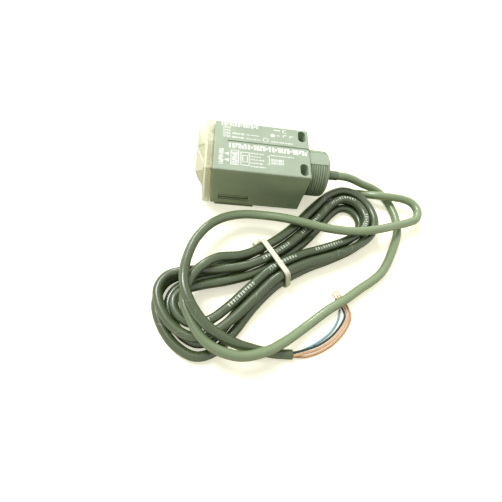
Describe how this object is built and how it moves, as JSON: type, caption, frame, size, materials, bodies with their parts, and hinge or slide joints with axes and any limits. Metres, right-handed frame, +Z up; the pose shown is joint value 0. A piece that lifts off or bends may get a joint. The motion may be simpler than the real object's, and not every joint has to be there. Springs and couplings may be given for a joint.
{
  "type": "photoelectric sensor",
  "caption": "Block-shaped photoelectric sensor with a clear front cap, a threaded rear hub, through mounting slots, controls underneath and its cable tied in a hank.",
  "frame": {"origin": "centre of the base of the sensor's box without its cable, on the surface that it stands on", "axes": "+X from the lens cap towards the threaded hub, +Y across, +Z up through the label face"},
  "size_m": [0.1771, 0.1422, 0.036],
  "materials": {
    "housing": "fine matt moulding",
    "clear_cap": "clear, slightly yellowed",
    "clear_lens": "clear and polished",
    "holder": "satin ivory moulding",
    "pale_seal": "translucent silicone",
    "seal": "matt",
    "black_plastic": "matt",
    "board": "satin lacquer",
    "capacitor": "glossy sleeve",
    "red_light": "clear tinted",
    "green_light": "clear tinted",
    "panel": "fine matt moulding",
    "control": "satin",
    "cable_jacket": "satin vinyl",
    "strap": "satin nylon",
    "wire_brown": "satin vinyl",
    "wire_orange": "satin vinyl",
    "wire_blue": "satin vinyl",
    "wire_black": "satin vinyl"
  },
  "bodies": {
    "sensor": {"housing": "housing", "lens_cap": "clear_cap", "lens_gasket": "pale_seal", "optics_holder": "holder", "receiver_lens": "clear_lens", "emitter_lens": "clear_lens", "receiver_diode": "black_plastic", "emitter_led": "red_light", "power_indicator": "red_light", "output_indicator": "green_light", "optics_board": "board", "main_board": "board", "amplifier_chip": "black_plastic", "output_transistor": "black_plastic", "filter_capacitor": "capacitor", "control_panel": "panel", "panel_gasket": "seal", "sensitivity_trimmer": "black_plastic", "mode_switch": "black_plastic", "cable_seal": "seal", "inner_cable": "cable_jacket", "strain_relief": "cable_jacket", "cord_lead": "cable_jacket", "cord_hank": "cable_jacket", "cord_tail": "cable_jacket", "cable_tie": "strap", "conductor_brown": "wire_brown", "conductor_orange": "wire_orange", "conductor_blue": "wire_blue", "conductor_black": "wire_black"},
    "sensitivity_control": {"sensitivity_knob": "control"},
    "mode_control": {"mode_knob": "control"}
  },
  "joints": [
    {"name": "sensitivity_turn", "type": "hinge", "parent": "sensor", "child": "sensitivity_control", "pos_m": [-0.0125, -0.007, 0], "axis": [0, 0, 1], "range_deg": [-135, 135]},
    {"name": "mode_turn", "type": "hinge", "parent": "sensor", "child": "mode_control", "pos_m": [-0.0125, 0.007, 0], "axis": [0, 0, 1], "range_deg": [0, 90]}
  ]
}
